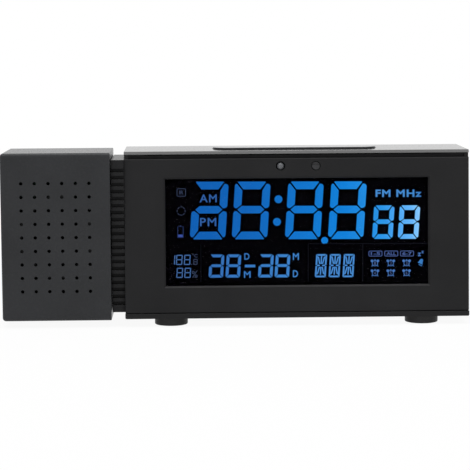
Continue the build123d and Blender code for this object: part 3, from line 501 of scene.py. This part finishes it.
finishes = {
    "case_plastic": moulded("case_plastic", (24, 24, 25), 0.1, 0.2, depth=0.001, edge=0.2),
    "panel_plastic": moulded("panel_plastic", (41, 41, 42), 0.5, 0.1, edge=0.15),
    "head_plastic": moulded("head_plastic", (57, 58, 60), 0.26, 0.12, depth=0.003, edge=0.15),
    # The neck's rib grooves get painted shade from ambient occlusion
    "neck_plastic": moulded("neck_plastic", (42, 42, 43), 0.28, 0.06, depth=0.003, edge=0.15, crevice_shade_reach=1.6),
    "key_plastic": moulded("key_plastic", (50, 51, 54), 0.1, 0.25, depth=0.001, edge=0.15),
    "clear_plastic": clear("clear_plastic", (252, 252, 254), 1.03),
    "display_glass": dyed("display_glass", (3, 2, 5), (6, 5, 9), 30.0, 0.5, 0.0, 0.0),
    "white_plastic": moulded("white_plastic", (222, 224, 226), 0.4, 0.3),
    "inner_plastic": moulded("inner_plastic", (30, 30, 32), 0.5, 0.25),
    "board_green": circuit("board_green", (18, 74, 44), (52, 128, 84)),
    "chip_black": moulded("chip_black", (24, 24, 26), 0.55, 0.3, grain=0.2),
    "tin_metal": metal("tin_metal", (190, 192, 196), 0.38),
    "screw_steel": metal("screw_steel", (150, 152, 156), 0.34, grain=0.4),
    "spring_steel": metal("spring_steel", (196, 196, 192), 0.25, grain=0.4),
    "cell_wrap": wrapped_cell("cell_wrap", (34, 36, 42), (176, 118, 62), cell_low.x, cell_high.x),
    "rubber_black": dyed("rubber_black", (36, 36, 36), (46, 46, 46), 0.6, 0.5, 0.01),
    "loom_sleeve": dyed("loom_sleeve", (22, 22, 24), (34, 34, 37), 0.5, 0.6, 0.05),
    "emitter_resin": moulded("emitter_resin", (98, 100, 104), 0.3, 0.5, grain=0.8, depth=0.004),
    "receiver_resin": moulded("receiver_resin", (52, 52, 55), 0.3, 0.3, grain=0.8, depth=0.004),
    "speaker_metal": moulded("speaker_metal", (20, 20, 21), 0.4, 0.2),
    "speaker_paper": dyed("speaker_paper", (14, 14, 15), (22, 22, 23), 0.4, 0.85, 0.06),
    "coil_copper": metal("coil_copper", (184, 110, 70), 0.3),
    "magnet_ferrite": dyed("magnet_ferrite", (46, 46, 48), (62, 62, 64), 0.5, 0.7, 0.03),
    "optic_glass": clear("optic_glass", (244, 248, 250), 1.5),
}
for row in frame["record"]["subparts"]:
    node = frame["nodes"][row["node"]]
    node.data.materials.clear()
    node.data.materials.append(finishes[row["material_slot"]])


# Flat drawing: outlines in millimetres on a plane

def face_place(node):
    """A function that puts drawn points on a node's front face, with its middle as the origin."""
    mesh = frame["nodes"][node].data
    front = max((face for face in mesh.polygons if face.normal.y < 0), key=lambda face: face.area)
    out = front.normal.normalized()
    across = Vector((1, 0, 0))
    up = out.cross(across)
    level = mesh.vertices[front.vertices[0]].co.dot(out)
    corners = [v.co for v in mesh.vertices if abs(v.co.dot(out) - level) < flat_tolerance * MM]
    spans = [sorted(p.dot(axis) for p in corners) for axis in (across, up)]
    halfway = [(reach[0] + reach[-1]) / 2 for reach in spans]
    middle = across * halfway[0] + up * halfway[1] + out * level
    turn = radians(display_turn)

    def place(x, y, z):
        along = x * cos(turn) - y * sin(turn)
        above = x * sin(turn) + y * cos(turn)
        return middle + (across * along + up * above + out * z) * MM

    return place


def slanted(outline, foot):
    """An outline leaning to the right, as the display's digits do."""
    return [(x + (y - foot) * tan(radians(display_slant)), y) for x, y in outline]


def box_outline(x0, y0, x1, y1):
    return [(x0, y0), (x1, y0), (x1, y1), (x0, y1)]


def within(box, margins):
    """A box made smaller by these margins across and up."""
    return (box[0] + margins[0], box[1] + margins[1], box[2] - margins[0], box[3] - margins[1])


def disc(x, y, radius, steps=disc_steps):
    angles = [2 * pi * n / steps for n in range(steps)]
    return [(x + radius * cos(angle), y + radius * sin(angle)) for angle in angles]


def arc(x, y, radius, start, end, steps=arc_steps):
    """Points along an arc, with its angles in degrees."""
    angles = [radians(start + (end - start) * n / steps) for n in range(steps + 1)]
    return [(x + radius * cos(angle), y + radius * sin(angle)) for angle in angles]


def line_sides(points, width, closed):
    """The left and the right side of a line of this width through the points."""
    count = len(points)
    left = []
    right = []
    for n, (x, y) in enumerate(points):
        before = points[n - 1] if n or closed else points[n]
        after = points[(n + 1) % count] if n < count - 1 or closed else points[n]
        along = Vector((after[0] - before[0], after[1] - before[1])).normalized()
        left.append((x - along.y * width / 2, y + along.x * width / 2))
        right.append((x + along.y * width / 2, y - along.x * width / 2))
    return left, right


def line(points, width):
    """A list with the outline of an open line of this width."""
    left, right = line_sides(points, width, False)
    return [right + left[::-1]]


def ring(points, width):
    """A closed line of this width, as a pair of its sides."""
    return line_sides(points, width, True)


def rounded_box(x0, y0, x1, y1, radius):
    """Points round a box with rounded corners."""
    corners = ((x1 - radius, y0 + radius, -90), (x1 - radius, y1 - radius, 0),
               (x0 + radius, y1 - radius, 90), (x0 + radius, y0 + radius, 180))
    return [point for x, y, start in corners for point in arc(x, y, radius, start, start + 90, corner_steps)]


def mirrored(outline, width, height, across, over):
    """A digit's outline mirrored left to right, top to bottom or both, still counter-clockwise."""
    points = [(width - x if across else x, height - y if over else y) for x, y in outline]
    return points[::-1] if across != over else points


def post_end(tip, levels, sides):
    """One end of a left post from its outer to its inner corner, as places across and levels in strokes."""
    across = (0, post_shoulder_share * tip, tip - sides[0], tip + sides[1], 1)
    return list(zip(across, levels))


def seven_segments(left, foot, width, height, stroke, segments="abcdefg"):
    """The lit segments of a digit, named a to g in the usual order."""
    middle = digit_middle_share * height

    def bar(name):
        """The top bar, with its outer corners cut."""
        tips = (bar_tips[name][0] * stroke, width - bar_tips[name][1] * stroke)
        corners = (bar_inner_corners[name][0] * stroke, width - bar_inner_corners[name][1] * stroke)
        cut = (bar_tip_cut[0] * stroke, bar_tip_cut[1] * stroke)
        return [
            (corners[0], height - stroke), (corners[1], height - stroke),
            (tips[1], height - cut[1]), (tips[1] - cut[0], height),
            (tips[0] + cut[0], height), (tips[0], height - cut[1]),
        ]

    def post(name, level):
        """The left post above this level."""
        near = post_end(post_middle_tips[name], post_middle_rises, post_middle_tip_sides)
        far = post_end(post_end_tips[name], post_end_drops, post_end_tip_sides)
        lower = [(x * stroke, level + rise * stroke) for x, rise in near]
        upper = [(x * stroke, height - drop * stroke) for x, drop in far]
        return lower + upper[::-1]

    def cross():
        """The bar in the middle, pointed at both ends."""
        tips = (cross_tips[0] * stroke, width - cross_tips[1] * stroke)
        corners = (cross_corners[0] * stroke, width - cross_corners[1] * stroke)
        levels = (middle - cross_half * stroke, middle + cross_half * stroke)
        return [
            (tips[0], middle), (corners[0], levels[0]), (corners[1], levels[0]),
            (tips[1], middle), (corners[1], levels[1]), (corners[0], levels[1]),
        ]

    shapes = {
        "a": bar("a"),
        "b": mirrored(post("b", middle), width, height, True, False),
        "c": mirrored(post("c", height - middle), width, height, True, True),
        "d": mirrored(bar("d"), width, height, False, True),
        "e": mirrored(post("e", height - middle), width, height, False, True),
        "f": post("f", middle),
        "g": cross(),
    }
    return [slanted([(left + x, foot + y) for x, y in shapes[name]], foot) for name in segments]


def starburst(left, foot, width, height, stroke):
    """A lettering cell with all its fourteen segments lit."""
    middle = foot + digit_middle_share * height
    centre = left + width / 2
    gap = burst_gap * stroke
    thin = burst_thin * stroke
    start = (burst_spoke_start[0] * stroke, burst_spoke_start[1] * stroke)
    reach = (width / 2 - stroke - gap, height / 2 - stroke - 2 * gap)
    shapes = []
    for side in (-1, 1):
        inner = centre + side * burst_bar_start * stroke
        outer = centre + side * (width / 2 - burst_bar * stroke)
        shapes += line([(inner, middle), (outer, middle)][::side], burst_bar * stroke)
        for over in (-1, 1):
            near = (centre + side * start[0], middle + over * start[1])
            far = (centre + side * reach[0], middle + over * reach[1])
            shapes += line([near, far], thin)
    for over in (-1, 1):
        ends = (middle + over * burst_post_start * stroke, middle + over * (height / 2 - stroke - gap))
        shapes += line([(centre, ends[0]), (centre, ends[1])], thin)
    border = seven_segments(left, foot, width, height, stroke, "abcdef")
    return border + [slanted(shape, foot) for shape in shapes]


def alarm_icon(x, y, size):
    """A twin-bell alarm clock: a round body, two bells, two feet and a knob."""
    unit = size / 10

    def at(across, rise):
        return (x + across * unit, y + rise * unit)

    body = disc(*at(0, alarm_body_rise), alarm_body_radius * unit, alarm_body_steps)
    shapes = [ring(body, alarm_body_line * unit)]
    for side in (-1, 1):
        bell = at(side * alarm_bell_place[0], alarm_bell_place[1])
        shapes.append(disc(*bell, alarm_bell_radius * unit, alarm_bell_steps))
        foot = [at(side * across, rise) for across, rise in alarm_foot_ends]
        shapes += line(foot, alarm_foot_line * unit)
    shapes.append(disc(*at(0, alarm_knob_rise), alarm_knob_radius * unit, dot_steps))
    return shapes


def bell_icon(x, y, size):
    """A bell that leans to the left, with its rim below."""
    unit = size / 10
    left_side = [(-across, rise) for across, rise in bell_side]
    body = left_side[::-1] + list(bell_side[1:])
    rim = line(bell_rim_ends, bell_rim_line)
    turn = radians(bell_turn)
    along = (unit * cos(turn), unit * sin(turn))
    return [
        [(x + a * along[0] - b * along[1], y + a * along[1] + b * along[0]) for a, b in shape]
        for shape in [body] + rim
    ]


def clockwise(outline):
    area = sum(a[0] * b[1] - b[0] * a[1] for a, b in zip(outline, outline[1:] + outline[:1]))
    return area < 0


def add_wall(mesh, low, high):
    """The upright faces along a closed row of points, facing to its right."""
    for n in range(len(low)):
        m = (n + 1) % len(low)
        mesh.faces.new((low[n], low[m], high[m], high[n]))


def add_shapes(mesh, shapes, place, thickness):
    """Thin closed plates on the drawing plane: a list is an outline and a pair is a ring's two sides."""
    def levels(points):
        return [[mesh.verts.new(place(x, y, z)) for x, y in points] for z in (0, thickness)]

    for shape in shapes:
        if isinstance(shape, tuple):
            left_low, left_high = levels(shape[0])
            right_low, right_high = levels(shape[1])
            add_wall(mesh, right_low, right_high)
            add_wall(mesh, left_low[::-1], left_high[::-1])
            for n in range(len(left_low)):
                m = (n + 1) % len(left_low)
                mesh.faces.new((right_high[n], right_high[m], left_high[m], left_high[n]))
                mesh.faces.new((left_low[n], left_low[m], right_low[m], right_low[n]))
        else:
            low, high = levels(shape[::-1] if clockwise(shape) else shape)
            mesh.faces.new(high)
            mesh.faces.new(low[::-1])
            add_wall(mesh, low, high)


def add_lettering(mesh, text, box, place, thickness, weight=letter_weight, spacing=1.0):
    """Letters that fill a box, as thin closed plates on the drawing plane."""
    curve = bpy.data.curves.new("lettering", "FONT")
    curve.body = text
    curve.bevel_depth = weight
    curve.space_character = spacing
    curve.bevel_resolution = 0
    curve.extrude = letter_depth
    curve.resolution_u = letter_steps
    holder = bpy.data.objects.new("lettering", curve)
    bpy.context.scene.collection.objects.link(holder)
    bpy.context.view_layer.update()
    letters = bpy.data.meshes.new_from_object(holder)
    points = [v.co.copy() for v in letters.vertices]
    low = [min(p[axis] for p in points) for axis in range(2)]
    high = [max(p[axis] for p in points) for axis in range(2)]
    made = []
    for p in points:
        x = box[0] + (p.x - low[0]) / (high[0] - low[0]) * (box[2] - box[0])
        y = box[1] + (p.y - low[1]) / (high[1] - low[1]) * (box[3] - box[1])
        made.append(mesh.verts.new(place(x, y, thickness if p.z > 0 else 0)))
    for face in letters.polygons:
        mesh.faces.new([made[n] for n in face.vertices])
    bpy.data.objects.remove(holder)
    bpy.data.curves.remove(curve)
    bpy.data.meshes.remove(letters)


def finished(name, mesh, material, body, smooth=False):
    """A new piece from a built mesh, with its material and the body that it rides on."""
    data = bpy.data.meshes.new(name)
    mesh.to_mesh(data)
    mesh.free()
    for face in data.polygons:
        face.use_smooth = smooth
    data.materials.append(material)
    piece = bpy.data.objects.new(name, data)
    bpy.context.scene.collection.objects.link(piece)
    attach(piece, body)
    return piece


# Display

on_display = face_place("lcd_glass")


def time_ink():
    """The large time digits with their colon and point, and the two digits of the seconds."""
    mesh = bmesh.new()
    shapes = []
    for number, left in enumerate(digit_lefts):
        segments = "abcdeg" if number == 0 else "abcdefg"
        shapes += seven_segments(left, digit_foot, digit_width, digit_height, digit_stroke, segments)
    for left in second_lefts:
        shapes += seven_segments(left, digit_foot, second_width, second_height, second_stroke)
    shapes += [disc(x, y, colon_radius) for x, y in colon_places]
    shapes.append(disc(*point_place, point_radius))
    add_shapes(mesh, shapes, on_display, ink_height)
    return mesh


def calendar_ink():
    """The lower row with its bell, and the words by the date and the seconds."""
    mesh = bmesh.new()
    shapes = []
    for number, left in enumerate(date_lefts):
        segments = "abcdeg" if number % 2 == 0 else "abcdefg"
        shapes += seven_segments(left, date_foot, date_width, date_height, date_stroke, segments)
    shapes.append(box_outline(*dash_box))
    for left in weekday_lefts:
        shapes += starburst(left, date_foot, weekday_width, date_height, weekday_stroke)
    for number in range(2):
        for left, foot in ((temperature_left, temperature_foot), (humidity_left, humidity_foot)):
            place = left + number * climate_pitch + climate_stroke
            shapes += seven_segments(place, foot, climate_width, climate_height, climate_stroke)
    hundred = temperature_left - climate_width
    shapes += seven_segments(
        hundred, temperature_foot, climate_width, climate_height, climate_stroke, "bc"
    )
    shapes += bell_icon(*bell_place, bell_size)
    add_shapes(mesh, shapes, on_display, ink_height)
    for words, weight in ((bold_words, bold_weight), (thin_words, thin_weight)):
        for word, box in words:
            add_lettering(mesh, word, box, on_display, ink_height, weight, word_spacing)
    return mesh


def half_day_ink():
    """The two words inside the first large digit."""
    mesh = bmesh.new()
    for word, box in half_day_words:
        add_lettering(mesh, word, box, on_display, ink_height, thin_weight, word_spacing)
    return mesh


def box_ink():
    """The three outlined boxes over the alarms, with the days that each stands for."""
    mesh = bmesh.new()
    shapes = []
    for left, word in zip(box_lefts, box_words):
        box = (left, box_foot, left + box_width, box_foot + box_height)
        shapes.append(ring(rounded_box(*box, box_round), fine_line_width))
        add_lettering(mesh, word, within(box, box_word_margins), on_display, ink_height)
    add_shapes(mesh, shapes, on_display, ink_height)
    return mesh


def alarm_ink():
    """The small alarm clocks, and the sleep sign beside them."""
    mesh = bmesh.new()
    shapes = []
    for x in alarm_columns:
        for y in alarm_rows:
            shapes += alarm_icon(x, y, alarm_size)
    add_shapes(mesh, shapes, on_display, ink_height)
    for box in sleep_boxes:
        add_lettering(mesh, "z", box, on_display, ink_height)
    return mesh


def faint_ink():
    """The dim signs: infrared box, signal sign, units and the alarms' numbers."""
    mesh = bmesh.new()
    shapes = [ring(rounded_box(*infrared_box, box_round), fine_line_width)]
    x, y = signal_place
    for middle in signal_angles:
        dash = arc(x, y, signal_radius, middle - signal_reach, middle + signal_reach)
        shapes += line(dash, fine_line_width)
    shapes += line([(x, y + signal_tick[0]), (x, y + signal_tick[1])], fine_line_width)
    left, width, height, stroke = unit_place
    shapes += seven_segments(left, temperature_foot, width, height, stroke)
    x, rise, radius = unit_point
    shapes.append(disc(x, temperature_foot + rise, radius, dot_steps))
    add_shapes(mesh, shapes, on_display, ink_height)
    add_lettering(mesh, "IR", within(infrared_box, infrared_margins), on_display, ink_height)
    add_lettering(mesh, "°C", degree_box, on_display, ink_height)
    add_lettering(mesh, "%", percent_box, on_display, ink_height)
    for column, x in enumerate(alarm_columns):
        for row, y in enumerate(alarm_rows):
            number = str(1 + column + row * len(alarm_columns))
            box = (x + number_box[0], y + number_box[1], x + number_box[2], y + number_box[3])
            add_lettering(mesh, number, box, on_display, ink_height)
    return mesh


def battery_outline_ink():
    mesh = bmesh.new()
    shapes = [ring(box_outline(*battery_box), fine_line_width)]
    top = battery_box[3] + fine_line_width / 2
    nub = (battery_box[0] + nub_inset, top, battery_box[2] - nub_inset, top + nub_height)
    shapes.append(box_outline(*nub))
    add_shapes(mesh, shapes, on_display, ink_height)
    return mesh


def battery_level_ink():
    mesh = bmesh.new()
    x0, y0, x1, y1 = within(battery_box, (battery_margin, battery_margin))
    add_shapes(mesh, [box_outline(x0, y0, x1, y0 + battery_fill)], on_display, ink_height)
    return mesh


def rule_ink():
    """The hardly visible rules between the display's fields."""
    mesh = bmesh.new()
    shapes = [box_outline(rule_ends[0], rule_top - rule_width, rule_ends[1], rule_top)]
    for x in rule_places:
        shapes.append(box_outline(x - rule_width / 2, rule_foot, x + rule_width / 2, rule_top - rule_width))
    add_shapes(mesh, shapes, on_display, ink_height)
    return mesh


span = (glass_low.x, glass_high.x)
inks = {
    "time_segments": (time_ink(), lit("lit_time", blues, *span)),
    "calendar_segments": (calendar_ink(), lit("lit_calendar", calendar_blues, *span)),
    "half_day_signs": (half_day_ink(), lit("lit_half_day", half_day_blues, *span)),
    "alarm_signs": (alarm_ink(), lit("lit_alarms", alarm_blues, *span)),
    "schedule_boxes": (box_ink(), lit("lit_boxes", box_blues, *span)),
    "faint_signs": (faint_ink(), lit("lit_faint", faint_blues, *span)),
    "display_rules": (rule_ink(), lit("lit_rules", rule_blues, *span)),
    "battery_outline": (battery_outline_ink(), lit("lit_battery", battery_blues, *span)),
    "battery_level": (battery_level_ink(), lit("lit_level", level_blues, *span)),
}
for name, (mesh, material) in inks.items():
    finished(name, mesh, material, "case")


# Wound springs in the battery bay

def coil(mesh, start, axis, length):
    """A tapered wound spring from its wide end, along X."""
    hoops = []
    count = int(spring_turns * spring_steps)
    for n in range(count + 1):
        share = n / count
        radius = spring_wide_radius + (spring_tip_radius - spring_wide_radius) * share
        angle = 2 * pi * spring_turns * share
        rise = spring_wire_radius + (length - 2 * spring_wire_radius) * share
        spoke = Vector((0, cos(angle), sin(angle)))
        middle = start + (axis * rise + spoke * radius) * MM
        hoop = []
        for side in range(wire_sides):
            turn = 2 * pi * side / wire_sides
            out = spoke * cos(turn) + axis * sin(turn)
            hoop.append(mesh.verts.new(middle + out * spring_wire_radius * MM))
        hoops.append(hoop)
    for a, b in zip(hoops, hoops[1:]):
        for side in range(wire_sides):
            other = (side + 1) % wire_sides
            mesh.faces.new((a[side], a[other], b[other], b[side]))
    mesh.faces.new(hoops[0][::-1])
    mesh.faces.new(hoops[-1])


spring_low, spring_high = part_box("cell_springs")
spring_mesh = bmesh.new()
row_places = [cell_low.z + (cell_high.z - cell_low.z) * share for share in cell_row_shares]
for number, z in enumerate(row_places):
    end = spring_low.x if number % 2 == 0 else spring_high.x
    axis = Vector((1, 0, 0)) if number % 2 == 0 else Vector((-1, 0, 0))
    coil(spring_mesh, Vector((end, (cell_low.y + cell_high.y) / 2, z)), axis, spring_length)
bmesh.ops.recalc_face_normals(spring_mesh, faces=spring_mesh.faces)
wire_finish = finishes["spring_steel"]
springs = finished("wound_springs", spring_mesh, wire_finish, "case", smooth=True)
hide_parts("cell_springs")


# Legends printed on the rear cover, under the keys and the inlet

def on_cover(x, y, z):
    """Drawn points on the rear cover's outer face, read from behind; x is along the clock's -X."""
    return Vector((-x * MM, cover_back + z * MM, y * MM))


cover_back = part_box("rear_cover")[1].y
legend_mesh = bmesh.new()
legends = {
    "mode_button": "MODE", "set_button": "SET", "up_button": "UP",
    "down_button": "DOWN", "alarm_button": "ALARM", "radio_button": "RADIO", "power_jack": "DC IN",
}
for node, word in legends.items():
    low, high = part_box(node)
    middle = -(low.x + high.x) / 2 / MM
    foot = (low.z + high.z) / 2 / MM - legend_drop - legend_height / 2
    half = legend_letter_share / 2 * legend_height * len(word)
    box = (middle - half, foot, middle + half, foot + legend_height)
    add_lettering(legend_mesh, word, box, on_cover, legend_ink)
legend_print = moulded("legend_print", (176, 178, 182), 0.5, 0.2, grain=0.2, depth=0.005)
finished("rear_legends", legend_mesh, legend_print, "case")


# Floor, light and camera

def seen_directly(nodes):
    """1 for rays that show the background itself, straight, mirrored or through glass."""
    path = nodes.new("ShaderNodeLightPath")
    return [path.outputs[name] for name in ("Is Camera Ray", "Is Glossy Ray", "Is Transmission Ray")]


def product(nodes, links, first, second):
    times = nodes.new("ShaderNodeMath")
    times.operation = "MULTIPLY"
    links.new(first, times.inputs[0])
    links.new(second, times.inputs[1])
    return times.outputs[0]


def summed(nodes, links, values):
    """The values added up, at most 1."""
    total = values[0]
    for value in values[1:]:
        add = nodes.new("ShaderNodeMath")
        add.operation = "ADD"
        add.use_clamp = True
        links.new(total, add.inputs[0])
        links.new(value, add.inputs[1])
        total = add.outputs[0]
    return total


def floor_material():
    """Pale matt paper that shows nearly white and keeps a soft shadow."""
    material, nodes, links, shader = new_material("studio_floor")
    cloud = stretch(nodes, links, noise(nodes, links, floor_cloud), 0, 1)
    dark, light = [tone(grey, grey, grey) for grey in floor_greys]
    links.new(two_tone(nodes, links, cloud, dark, light), shader.inputs["Base Color"])
    shader.inputs["Roughness"].default_value = floor_roughness
    shader.inputs["Specular IOR Level"].default_value = 0.0
    glow = nodes.new("ShaderNodeEmission")
    mix = nodes.new("ShaderNodeMixShader")
    place = nodes.new("ShaderNodeTexCoord")
    away = nodes.new("ShaderNodeVectorMath")
    away.operation = "LENGTH"
    links.new(place.outputs["Object"], away.inputs[0])
    fade = nodes.new("ShaderNodeMapRange")
    fade.inputs["From Min"].default_value = shadow_reach[0] * MM
    fade.inputs["From Max"].default_value = shadow_reach[1] * MM
    fade.inputs["To Min"].default_value = 1 - shadow_share
    fade.inputs["To Max"].default_value = 1.0
    links.new(away.outputs["Value"], fade.inputs["Value"])
    direct = summed(nodes, links, seen_directly(nodes))
    links.new(product(nodes, links, fade.outputs["Result"], direct), mix.inputs[0])
    links.new(shader.outputs[0], mix.inputs[1])
    links.new(glow.outputs[0], mix.inputs[2])
    links.new(mix.outputs[0], nodes["Material Output"].inputs["Surface"])
    return material


floor_mesh = bmesh.new()
half_floor = floor_size / 2 * MM
floor_corners = box_outline(-half_floor, -half_floor, half_floor, half_floor)
floor_mesh.faces.new([floor_mesh.verts.new((x, y, cad_low.z)) for x, y in floor_corners])
floor_data = bpy.data.meshes.new("studio_floor")
floor_mesh.to_mesh(floor_data)
floor_mesh.free()
floor_data.materials.append(floor_material())
floor = bpy.data.objects.new("studio_floor", floor_data)
bpy.context.scene.collection.objects.link(floor)

world = bpy.data.worlds.new("studio")
bpy.context.scene.world = world
world.use_nodes = True
sky_nodes = world.node_tree.nodes
sky_links = world.node_tree.links
room = sky_nodes["Background"]
room.inputs["Color"].default_value = (1, 1, 1, 1)
room.inputs["Strength"].default_value = room_light
white = sky_nodes.new("ShaderNodeBackground")
white.inputs["Color"].default_value = (1, 1, 1, 1)
white.inputs["Strength"].default_value = 1.0
sky_mix = sky_nodes.new("ShaderNodeMixShader")
sky_links.new(summed(sky_nodes, sky_links, seen_directly(sky_nodes)), sky_mix.inputs[0])
sky_links.new(room.outputs[0], sky_mix.inputs[1])
sky_links.new(white.outputs[0], sky_mix.inputs[2])
sky_links.new(sky_mix.outputs[0], sky_nodes["World Output"].inputs["Surface"])

lamp_data = bpy.data.lights.new("overhead_softbox", "AREA")
lamp_data.shape = "RECTANGLE"
lamp_data.size = lamp_length * MM
lamp_data.size_y = lamp_depth * MM
lamp_data.energy = lamp_power
lamp = bpy.data.objects.new("overhead_softbox", lamp_data)
lamp.location = (0, -lamp_forward * MM, lamp_height * MM)
bpy.context.scene.collection.objects.link(lamp)

pitch = radians(camera_pitch)
yaw = radians(camera_yaw)
roll = radians(camera_roll)
ahead = Vector((sin(yaw) * cos(pitch), cos(yaw) * cos(pitch), -sin(pitch)))
level_right = Vector((cos(yaw), -sin(yaw), 0))
level_down = ahead.cross(level_right)
right = level_right * cos(roll) + level_down * sin(roll)
down = level_down * cos(roll) - level_right * sin(roll)
camera_data = bpy.data.cameras.new("camera")
camera_data.sensor_fit = "HORIZONTAL"
camera_data.sensor_width = sensor_width
camera_data.lens = focal_share * sensor_width
camera = bpy.data.objects.new("camera", camera_data)
turned = Matrix((right, -down, -ahead)).transposed().to_4x4()
camera.matrix_world = Matrix.Translation(Vector(camera_place) * MM) @ turned
bpy.context.scene.collection.objects.link(camera)
bpy.context.scene.camera = camera

bpy.context.scene.view_settings.view_transform = "Standard"
